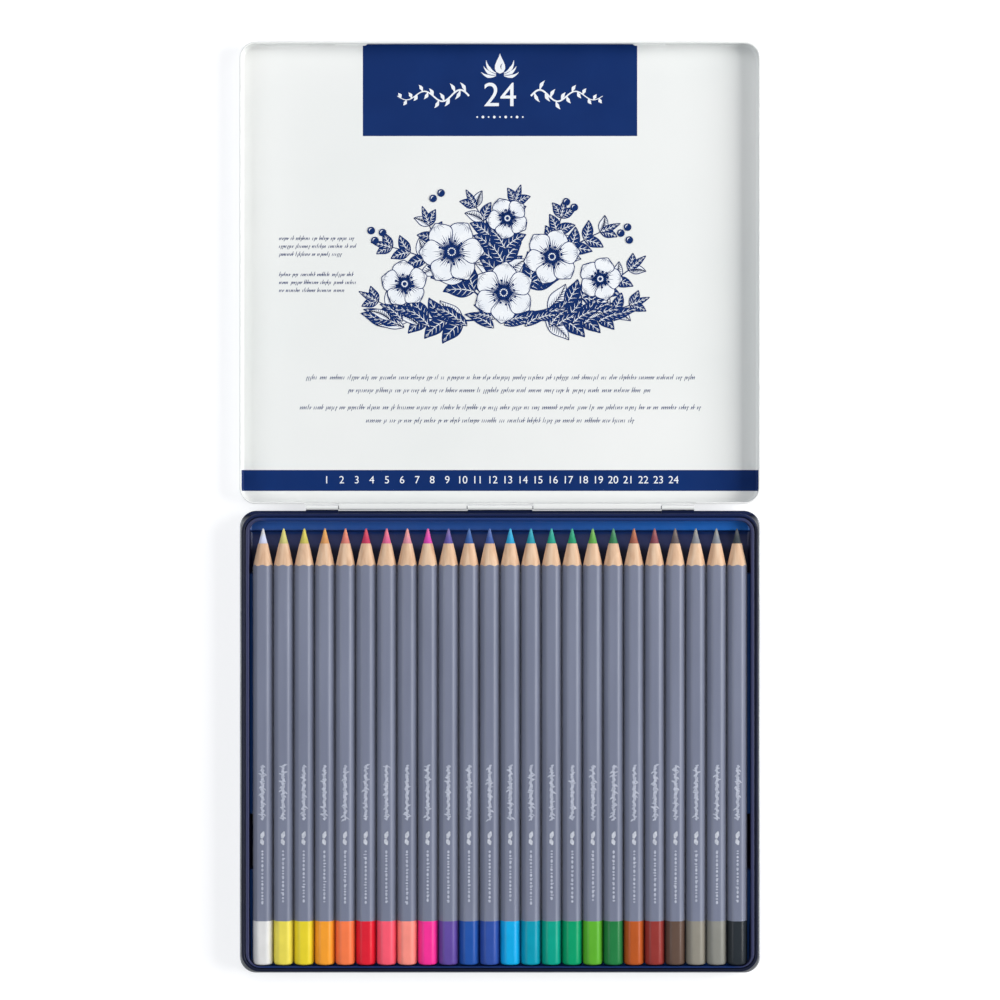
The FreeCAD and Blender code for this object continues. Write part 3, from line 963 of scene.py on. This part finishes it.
# %% Hinge knuckles and wire
knuckle_inner = 0.78
knuckle_outer = knuckle_inner + sheet
tray_end, tray_middle, knuckle_play = 13.0, 26.0, 0.4
lid_length = hinge_half - tray_end - tray_middle / 2 - 2 * knuckle_play
lid_start = tray_middle / 2 + knuckle_play
leaf_corner = (-1.15, ledge_bend - knuckle_outer)
rolled = (arc((0, 0), knuckle_outer, -90, 200, 24, 1)
          + arc((0, 0), knuckle_inner, 200, -90, 24, 1))
tray_leaf = [(-3.8, -knuckle_outer)] + rolled + [(-3.8, -knuckle_inner)]
lid_leaf = ([(-1.65, 0.6)] + arc(leaf_corner, ledge_bend, 180, 270, 8, 1) + rolled
            + arc(leaf_corner, ledge_bend - sheet, 270, 180, 8, 1) + [(-1.35, 0.6)])


def knuckle(name, section, start, length, body, turned=1):
    """Push a knuckle's section along the hinge; turned -1 gives the open lid's."""
    ends = [[Vector((x, hinge_y + turned * u, hinge_z + turned * w)) for u, w in section]
            for x in (start, start + length)]
    piece = new_piece(name, *wrapped(ends), white_lacquer, body, "tin_lacquer", 60)
    if body == "base":
        navy_to = (hinge_y - 1.0) * mm
        inked(piece, navy_lacquer, lambda number: piece.data.polygons[number].center.y < navy_to)


knuckle("tray_knuckle_left", tray_leaf, -hinge_half, tray_end, "base")
knuckle("tray_knuckle_middle", tray_leaf, -tray_middle / 2, tray_middle, "base")
knuckle("tray_knuckle_right", tray_leaf, hinge_half - tray_end, tray_end, "base")
knuckle("lid_knuckle_left", lid_leaf, -lid_start - lid_length, lid_length, "lid", -1)
knuckle("lid_knuckle_right", lid_leaf, lid_start, lid_length, "lid", -1)

wire_left = [(-hinge_half, 0.55), (-77.93, 0.65), (-77.8, 0.7)]
wire_stations = wire_left + [(-x, radius) for x, radius in wire_left[::-1]]
wire_rings = [[Vector((x, hinge_y + spoke.x, hinge_z + spoke.y)) for spoke in circle(radius, 40)]
              for x, radius in wire_stations]
hinge_wire = new_piece("hinge_wire", *wrapped(wire_rings), steel_wire, "base", "hinge_wire", 40)
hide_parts("hinge_pin")
print("lid knuckles:", round(lid_length, 1), "mm long, tray knuckles:", tray_end, tray_middle)

# %% [markdown]
# The insert is one sheet of navy plastic, heated and sucked down over a form. That process leaves
# every edge soft, thins the walls and gives the film a satin, slightly uneven shine. Its blue is
# painted darkest in the wells and bluer on its high places, as painted shade and light. Between the
# points a paler wash is painted light on the well floor, the step up to the ledge is painted a
# clearer blue as painted light on its shaded slope, and the ledge is painted bright blue toward the
# right as painted light from the lamp on that side. These are washes over the one blue. The flange
# and walls take a painted highlight, paler and greyer toward the sides.

# %% Finish of the insert
insert_blue = new_finish("insert_plastic", paint(22, 60, 128), 0.35, Coat_Weight=0.12,
                         Coat_Roughness=0.3)
# Painted shade and light: the blue runs from dark in the deep wells to a brighter blue on the high
# places.
shade_and_light_by_height = stirred(insert_blue, place_in(insert_blue, "Z", 1.0, 6.0),
                      noise_in(insert_blue, 35.0), 0.25)
vary_colour(insert_blue, shade_and_light_by_height,
            [(0.1, paint(10, 19, 50)), (0.5, paint(16, 40, 96)), (1.0, paint(26, 72, 142))])
vary_gloss(insert_blue, 0.3, 0.4, 150.0)
# Painted light: a paler wash on the well floor between the points, near the ledge.
washed(insert_blue, zone_in(insert_blue, "Y", 78.0, 84.6, 1.3), paint(52, 61, 108))
# Painted light: the shaded step up to the ledge is painted a clearer blue.
washed(insert_blue, zone_in(insert_blue, "Y", 83.4, 85.1, 0.3), paint(14, 54, 124))
# Painted light: the ledge is painted bright blue toward the right, where the lamp is.
painted_light_far_right = where_both(insert_blue, place_in(insert_blue, "Y", 84.7, 85.0),
                       place_in(insert_blue, "X", 8.0, 96.0))
washed(insert_blue, painted_light_far_right, paint(12, 94, 178))
relief(insert_blue, (0.06, 70.0, 1.0), (0.01, 300.0, 1.0))

highlit_flange_blue = new_finish("highlit_flange_plastic", paint(42, 52, 92), 0.42, Specular_IOR_Level=0.2,
                        Coat_Weight=0.04, Coat_Roughness=0.3)
# Painted highlight: the flange and walls turn paler and greyer toward the sides of the tin.
highlight_toward_sides = stirred(highlit_flange_blue, place_in(highlit_flange_blue, "X", 93.0, 100.0, True),
                   noise_in(highlit_flange_blue, 35.0), 0.2)
vary_colour(highlit_flange_blue, highlight_toward_sides, [(0.1, paint(20, 49, 108)), (1.0, paint(55, 59, 92))])
vary_gloss(highlit_flange_blue, 0.36, 0.5, 150.0)
relief(highlit_flange_blue, (0.1, 90.0, 1.0), (0.01, 300.0, 1.0))
print("insert finishes:", insert_blue.name, highlit_flange_blue.name)

# %% [markdown]
# The flange and the pocket's walls are rings again: from the flange's edge over a soft bend down
# to the floor, and back up the underside, a little nearer than the sheet is thick because the
# film thins as it is drawn down. The last ring is the first again, so the film has no open edge.

# %% Flange and pocket walls of the insert
film = 0.5
thinned_film = film - 0.12
flange_inset, flange_corner, flange_bevel = 2.7, 5.95, 0.08
pocket_inset, pocket_front, pocket_corner = 4.0, 3.2, 4.5
flange_top = insert_high.z
well_floor = insert_low.z + film
lean = 0.3
soft_edge = 0.35


def pocket_ring(grown, z):
    """Ring of the pocket's wall, grown outward; the wall leans in as it goes down."""
    inward = lean * (flange_top - z) / (flange_top - well_floor) - grown
    return ring(pocket_inset + inward, pocket_corner - inward, z, plain_places, 0.0,
                pocket_front + inward)


flange_rings = [ring(flange_inset + bevel, flange_corner - bevel, z, plain_places)
                for bevel, z in ((0.0, flange_top - film), (0.0, flange_top - flange_bevel),
                                 (flange_bevel, flange_top))]
for degrees in range(0, 91, 15):
    turn = math.radians(degrees)
    flange_rings.append(pocket_ring(soft_edge * (1 - math.sin(turn)),
                                    flange_top - soft_edge * (1 - math.cos(turn))))
flange_rings += [pocket_ring(0.0, z) for z in (8.0, 4.0, well_floor)]
flange_rings += [pocket_ring(thinned_film, z)
                 for z in (well_floor, 4.0, 8.0, flange_top - film - 0.3)]
flange_rings += [pocket_ring(film - 0.05, flange_top - film)]
new_piece("insert_walls", *wrapped(flange_rings + flange_rings[:1], capped=False), highlit_flange_blue,
          "insert", "insert_plastic", 50)
print("insert wall rings:", len(flange_rings))

# %% [markdown]
# The bed could be cut from blocks, but a bed of heights is closer to how the film drapes: one
# height for each place, with the ledge behind the points, the well under them, the grooves and
# the finger trough blended into each other. The places stand close together only where the film
# bends.

# %% Heights of the insert's bed
pencil_pitch = 8.27466
pencil_xs = [(number - 11.5) * pencil_pitch for number in range(24)]
pencil_axis = 7.675
pocket_half = half_width - pocket_inset
rear_y = half_depth - pocket_inset
front_y = half_depth - pocket_front
pencil_length = 175.0
tip_y = rear_y - 3.1
butt_y = tip_y - pencil_length
groove_depth = 3.925
groove_floor = pencil_axis - groove_depth
ridge_top = pencil_axis - 1.6
ledge_height = pencil_axis - 1.5
step_width = 0.9
zones = [("ledge", rear_y - 4.1), ("well", tip_y - 18.0), ("deck", butt_y + 60.0),
         ("well", butt_y + 38.0), ("deck", -half_depth)]


def soft_least(a, b, k):
    """The lesser of two heights, with the corner between them rounded."""
    h = max(k - abs(a - b), 0.0) / k
    return min(a, b) - h * h * k / 4


def deck_height(x):
    """Height of the grooved deck at one place across the tin."""
    away = min(abs(x - pencil_x) for pencil_x in pencil_xs)
    corner = groove_depth * math.tan(math.radians(30))
    slope = groove_floor + (away - corner) * math.tan(math.radians(60))
    return -soft_least(-groove_floor, -soft_least(ridge_top, slope, 0.5), 0.5)


def bed_height(x, y):
    """Height of the bed: the zones from the rear wall to the front, blended at their ends."""
    heights = {"ledge": ledge_height, "well": well_floor, "deck": deck_height(x)}
    height = ledge_height
    for (behind, edge), (ahead, _) in zip(zones, zones[1:]):
        share = min(1.0, max(0.0, (edge + step_width / 2 - y) / step_width))
        share = share * share * share * (share * (6 * share - 15) + 10)
        height += share * (heights[ahead] - heights[behind])
    return height


print("groove floor", groove_floor, "mm, ledge", ledge_height, "mm high")

# %% Bed of the insert
groove_stops = (0, 1.6, 1.95, 2.2, 2.45, 2.8, 3.1, 3.35, 3.6, 3.85)
wall_stops = (-0.15, 0.1, 0.3, 0.55, 0.9, 1.0)
step_stops = (0, 0.07, 0.14, 0.22, 0.32, 0.45, 0.55)
wall_play = 0.15
fillet = 0.7
bed_xs = {x + side * stop for x in pencil_xs for side in (-1, 1) for stop in groove_stops}
bed_xs |= {side * (pocket_half - stop) for side in (-1, 1) for stop in wall_stops}
bed_xs = sorted({round(x, 4) for x in bed_xs})
bed_ys = {rear_y - stop for stop in wall_stops} | {stop - front_y for stop in wall_stops}
bed_ys |= {edge + side * stop for _, edge in zones[:-1] for side in (-1, 1) for stop in step_stops}
bed_ys = sorted(bed_ys)


def inside_pocket(x, y):
    """Keep a place of the bed inside the pocket's rounded corners."""
    corner_x = pocket_half - pocket_corner
    corner_y = (rear_y if y > 0 else front_y) - pocket_corner
    dx, dy = abs(x) - corner_x, abs(y) - corner_y
    reach = pocket_corner + wall_play
    if dx > 0 and dy > 0 and math.hypot(dx, dy) > reach:
        share = reach / math.hypot(dx, dy)
        return math.copysign(corner_x + dx * share, x), math.copysign(corner_y + dy * share, y)
    return x, y


def wall_fillet(x, y):
    """Rise of the film where the bed runs up into the pocket's wall."""
    away = min(pocket_half - abs(x), rear_y - y, y + front_y) - 0.2
    short = fillet - min(fillet, max(0.0, away))
    return fillet - math.sqrt(fillet ** 2 - short ** 2)


bed_points = []
for y in bed_ys:
    for x in bed_xs:
        near_x, near_y = inside_pocket(x, y)
        height = bed_height(x, y) + wall_fillet(near_x, near_y)
        bed_points.append(Vector((near_x, near_y, height)))
insert_bed = new_piece("insert_bed", bed_points, strip_faces(len(bed_ys), len(bed_xs), False),
                       insert_blue, "insert", "insert_plastic", 80, closed=False)
thickness = insert_bed.modifiers.new("film", "SOLIDIFY")
thickness.thickness = film * mm
thickness.offset = -1.0
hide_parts("insert_tray")
print("bed:", len(bed_xs), "x", len(bed_ys), "points")

# %% [markdown]
# A pencil is a cedar slat glued round a lead, planed to a hexagon with soft edges, lacquered,
# dipped in its own colour at the butt, and sharpened. Sharpening cuts a cone through the hexagon,
# so the lacquer ends in scallops: it reaches forward on the flats and back on the edges. Here the
# lacquer starts further back on a column of the mesh the further that column stands out, and the
# rows of the mesh follow that line exactly.

# %% Section of a pencil
across_flats = 7.36
edge_round = 1.7
lead_radius = 1.85
wood_start = 1.96
lead_length = 6.0
dip_length = 17.7
scallop_start = 14.5
scallop_depth = 1.7
edge_middle = (across_flats / 2 - edge_round) / math.cos(math.radians(30))

hexagon = []
for side in range(6):
    edge, next_edge = math.radians(120 + 60 * side), math.radians(180 + 60 * side)
    rounding = [math.radians(90 + 60 * side + 7.5 * step) for step in range(9)]
    hexagon += [toward(edge) * edge_middle + toward(turn) * edge_round for turn in rounding]
    flat_start = hexagon[-1]
    flat_end = toward(next_edge) * edge_middle + toward(rounding[-1]) * edge_round
    hexagon += [flat_start.lerp(flat_end, step / 4) for step in range(1, 4)]
hex_radii = [corner.length for corner in hexagon]
scallops = [scallop_start + scallop_depth * (radius - across_flats / 2) for radius in hex_radii]


def all_round(value):
    """One value for every column."""
    return [value] * len(hexagon)


def raised(lift):
    """Radius of every column, raised by a film."""
    return [radius + lift for radius in hex_radii]


def pencil_row(x, distances, radii):
    """One row of a pencil: for each column a distance from the point and a radius."""
    row = []
    for corner, distance, radius in zip(hexagon, distances, radii):
        outward = corner.normalized() * radius
        row.append(Vector((x + outward.x, tip_y - distance, pencil_axis + outward.y)))
    return row


print("columns:", len(hexagon), "scallops from", round(min(scallops), 2), "to",
      round(max(scallops), 2), "mm behind the point")

# %% [markdown]
# Cedar shows long soft growth lines and a fine fibre. The lacquer is a satin grey-blue with a trace
# of the grain under it. The dip is thicker and a little glossier. The lead is pressed pigment:
# matte, faintly ringed by the blade. The foil of the stamp is silver, and duller where it is worn.

# %% Finishes of wood, lacquer and silver
cedar = new_finish("cedar", paint(222, 186, 152), 0.75)
vary_colour(cedar, noise_in(cedar, 420.0, 5.0, (1, 0.06, 1), 0.4),
            [(0.25, paint(194, 152, 121)), (0.5, paint(215, 180, 149)),
             (0.75, paint(226, 198, 170))])
vary_gloss(cedar, 0.62, 0.82, 900.0, 3.0, (1, 0.1, 1))
relief(cedar, (0.03, 1400.0, 3.0, (1, 0.08, 1)), (0.02, 500.0, 3.0, (0.3, 2.5, 0.3)))

satin_lacquer = new_finish("satin_lacquer", paint(114, 120, 141), 0.45, Specular_IOR_Level=0.45,
                           Sheen_Weight=0.6, Sheen_Roughness=0.4)
two_tone(satin_lacquer, (110, 116, 137), (118, 124, 145), 120.0, 3.0, (1, 0.15, 1))
vary_gloss(satin_lacquer, 0.42, 0.5, 500.0, 3.0, (1, 0.2, 1))
relief(satin_lacquer, (0.012, 900.0, 3.0, (1, 0.05, 1)), (0.003, 1000.0, 1.0))


def new_foil(name, colour, roughness, metallic, low_tone, high_tone, low_gloss):
    """Stamped foil, a little uneven in tone, gloss and surface."""
    foil = new_finish(name, colour, roughness, Metallic=metallic)
    two_tone(foil, low_tone, high_tone, 900.0)
    vary_gloss(foil, low_gloss, 0.5, 1200.0)
    relief(foil, (0.004, 2000.0))
    return foil


silver_foil = new_foil("silver_foil", paint(203, 207, 218), 0.42, 0.2,
                       (184, 189, 203), (214, 218, 228), 0.32)
worn_foil = new_foil("worn_foil", paint(160, 165, 182), 0.45, 0.15,
                     (164, 170, 188), (196, 201, 216), 0.34)
print("pencil finishes:", cedar.name, satin_lacquer.name, silver_foil.name, worn_foil.name)

# %% Colours of the leads and dips
pencil_colours = [
    (216, 216, 216), (226, 211, 84), (224, 204, 46), (238, 154, 46), (240, 120, 72), (216, 30, 50),
    (242, 88, 110), (242, 140, 128), (238, 48, 146), (94, 72, 154), (32, 80, 162), (46, 78, 160),
    (10, 165, 223), (0, 149, 174), (0, 156, 132), (0, 152, 102), (90, 170, 46), (32, 120, 64),
    (178, 84, 34), (142, 52, 48), (94, 74, 64), (138, 134, 124), (134, 134, 128), (38, 44, 50)]


def pigment_finishes(number, colour):
    """Matte, chalky lead and smooth dip in one pencil's colour."""
    mixed = paint(*colour)
    red, green, blue = (0.82 * part + 0.18 * max(165, min(colour)) for part in colour)
    chalky = paint(red - 14, green - 8, blue + 0.15 * red - 14)
    rubbed_and_highlit = paint(*(0.7 * part + 0.3 * 190 for part in colour))
    lead = new_finish(f"lead_{number:02d}", chalky, 0.68)
    # The lead is painted darker toward the wood and paler at its point; the paler point is partly
    # wear and partly a painted highlight.
    paling_toward_point = stirred(lead, place_in(lead, "Y", tip_y - lead_length, tip_y),
                         noise_in(lead, 900.0), 0.5)
    vary_colour(lead, paling_toward_point, [(0.15, shade(chalky, 0.82)), (0.6, chalky), (1.0, rubbed_and_highlit)])
    relief(lead, (0.03, 350.0, 3.0, (0.4, 6.0, 0.4)), (0.02, 2500.0))
    dip = new_finish(f"dip_{number:02d}", mixed, 0.4, Specular_IOR_Level=0.25)
    vary_colour(dip, noise_in(dip, 160.0), [(0.3, shade(mixed, 0.95)), (0.7, shade(mixed, 1.04))])
    vary_gloss(dip, 0.36, 0.46, 300.0)
    relief(dip, (0.02, 500.0, 1.0))
    return lead, dip


print("pencil colours:", len(pencil_colours))

# %% [markdown]
# Wood, lacquer and dip are rows of the same hexagon, one outside the other by the thickness of
# each film. The wood starts at the lead and widens along the cone. The lacquer thins out at the
# scallops, and the dip rounds over the butt.

# %% Rows of wood, lacquer, dip and lead
coat = 0.05
dip_coat = 0.1
butt_round = 1.5


def wood_rows(x):
    """Bare cone from the lead to the scallops, then the slat under its lacquer to the butt."""
    rows = [pencil_row(x, all_round(lead_length + 0.02), all_round(lead_radius + 0.02))]
    for share in (0, 0.15, 0.35, 0.6, 0.85, 1.0):
        distances = [lead_length + (line - lead_length) * share for line in scallops]
        radii = [wood_start + (radius - wood_start) * share for radius in hex_radii]
        rows.append(pencil_row(x, distances, radii))
    rows.append(pencil_row(x, all_round(pencil_length - 1.2), hex_radii))
    rows.append(pencil_row(x, all_round(pencil_length - 0.15),
                           [min(radius, 2.5) for radius in hex_radii]))
    return rows


def lacquer_rows(x):
    """Film of lacquer from its thin scalloped edge to just under the dip."""
    rows = [pencil_row(x, [line + back for line in scallops], raised(lift))
            for back, lift in ((0.0, 0.002), (0.06, 0.035), (0.2, coat))]
    rows += [pencil_row(x, all_round(distance), raised(coat))
             for distance in (60.0, 110.0, pencil_length - dip_length + 0.5)]
    return rows


def dip_rows(x):
    """Thicker film of the pencil's colour, round over the butt and closed across it."""
    start = pencil_length - dip_length
    rows = [pencil_row(x, all_round(start + back), raised(lift))
            for back, lift in ((0.0, coat + 0.002), (0.05, coat + 0.03), (0.18, dip_coat))]
    rows += [pencil_row(x, all_round(pencil_length - left), raised(dip_coat))
             for left in (8.0, butt_round)]
    for left in (1.2, 0.95, 0.72, 0.5, 0.32, 0.17, 0.06, 0.0):
        bent = 1 - left / butt_round
        cap = 2.35 + 1.9 * math.sqrt(1 - bent * bent)
        radii = [soft_least(radius, cap, 0.5) for radius in raised(dip_coat)]
        rows.append(pencil_row(x, all_round(pencil_length - left), radii))
    for radius, bulge in ((1.7, 0.05), (0.9, 0.08)):
        rows.append(pencil_row(x, all_round(pencil_length + bulge), all_round(radius)))
    return rows


def lead_rings(x):
    """Sharpened lead with a blunt point; its rear end is hidden in the wood."""
    stations = [(0.16, 0.0), (0.27, 0.07), (0.34, 0.22), (0.44, 0.6), (1.1, 3.2), (1.83, 5.95),
                (1.83, 7.5)]
    return [[Vector((x + spoke.x, tip_y - distance, pencil_axis + spoke.y))
             for spoke in circle(radius, 28)] for radius, distance in stations]


print("lacquer", coat, "mm and dip", dip_coat, "mm thick")

# %% Dress each pencil
for number, (x, colour) in enumerate(zip(pencil_xs, pencil_colours), start=1):
    body, lead_slot = f"pencil_{number:02d}", f"lead_{number:02d}"
    lead_finish, dip_finish = pigment_finishes(number, colour)
    wood = new_piece(f"{body}_wood", *wrapped(wood_rows(x)), cedar, body, "cedar", 40)
    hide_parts(f"{body}_casing")
    lead = new_piece(f"{body}_lead", *wrapped(lead_rings(x)), lead_finish, body, lead_slot, 60)
    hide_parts(f"{body}_core")
    new_piece(f"{body}_lacquer", *wrapped(lacquer_rows(x), capped=False), satin_lacquer, body,
              "cedar", 50)
    new_piece(f"{body}_dip", *wrapped(dip_rows(x)), dip_finish, body, lead_slot, 50)
print("pencils dressed:", len(pencil_xs))

# %% [markdown]
# Each pencil is stamped with silver foil along its upper flat: a sprig, a mark of two leaves and
# a row of dashes. The leaves are bright, and the sprig and the dashes worn. The stamp presses the
# foil flat, so it is a film a hundredth of a millimetre above the lacquer that bends with the
# edges.

# %% Silver stamp of each pencil
foil_height = pencil_axis + across_flats / 2 + coat + 0.008
flat_half = (across_flats / 2 - edge_round) * math.tan(math.radians(30))
foil_round = edge_round + coat
bright, worn = 0, 1
sprig_y, sprig_length, sprig_steps = -8.9, 22.1, 60
dashes_y, dashes_end = -43.1, -63.6
stamping = random.Random(23)


def stamp(x):
    """Foil on one pencil, drawn along Y from the sprig to the dashes."""
    foil = blank_print(foil_height)
    spine = [Vector((x + 0.2 * math.sin(k * 0.9), sprig_y - sprig_length * k / sprig_steps))
             for k in range(sprig_steps + 1)]
    ribbon(foil, spine, (0.8, 1.2, 0.7), worn)
    for k in range(1, sprig_steps, 2):
        side = 1 if k % 4 == 1 else -1
        length = stamping.choice((0.7, 0.8, 0.95, 1.5)) * (0.5 if 36 < k < 41 else 1.0)
        end = spine[k] + Vector((side * length, stamping.choice((-0.6, 0.4)) * length))
        foil["height"] += ink_step
        leafy = (0.4, stamping.uniform(0.5, 0.9), 0.2)
        ribbon(foil, bow(spine[k], end, 0.1 * side, 4), leafy, worn)
    ribbon(foil, bow((x + 0.55, -35.5), (x - 0.3, -38.3), -0.03, 8), (0.5, 1.75, 0.8), bright)
    ribbon(foil, bow((x - 0.4, -38.6), (x + 0.35, -40.9), -0.03, 8), (0.8, 1.75, 0.5), bright)
    y = dashes_y
    while y > dashes_end:
        length = stamping.uniform(0.5, 1.5)
        dash = [Vector((x, y - share * length)) for share in (0, 0.5, 1)]
        ribbon(foil, dash, (0.5, 0.95, 0.5), worn)
        if stamping.random() < 0.5:
            dot(foil, (x + stamping.uniform(-0.6, 0.6), y - 0.3), 0.26, worn, ink_step, 8)
        y -= length + stamping.uniform(0.3, 0.7)
    for point in foil["points"]:
        past = max(0.0, abs(point.x - x) - flat_half)
        point.z -= foil_round - math.sqrt(foil_round ** 2 - past ** 2)
    return foil


for number, x in enumerate(pencil_xs, start=1):
    body = f"pencil_{number:02d}"
    printed_piece(f"{body}_stamp", stamp(x), (silver_foil, worn_foil), body, "cedar")

# %% [markdown]
# The floor is a plain pale sheet of frosted glass, lit a little from below as on a catalogue
# table, so the shadows round the tin stay faint.

# %% Floor
floor_half, floor_drop = 6000.0, 0.2
floor_finish = new_finish("pale_floor", paint(190, 190, 191), 0.9,
                          Emission_Color=(0.97, 0.98, 1.0, 1.0), Emission_Strength=0.6)
two_tone(floor_finish, (188, 188, 189), (192, 192, 192), 4.0)
floor_mesh = bpy.data.meshes.new("floor")
floor_mesh.from_pydata([Vector((x * floor_half, y * floor_half, -floor_drop)) * mm
                        for x, y in ((-1, -1), (1, -1), (1, 1), (-1, 1))], [], [(0, 1, 2, 3)])
floor_mesh.materials.append(floor_finish)
floor = bpy.data.objects.new("floor", floor_mesh)
scene.collection.objects.link(floor)
print("floor:", 2 * floor_half, "mm wide")
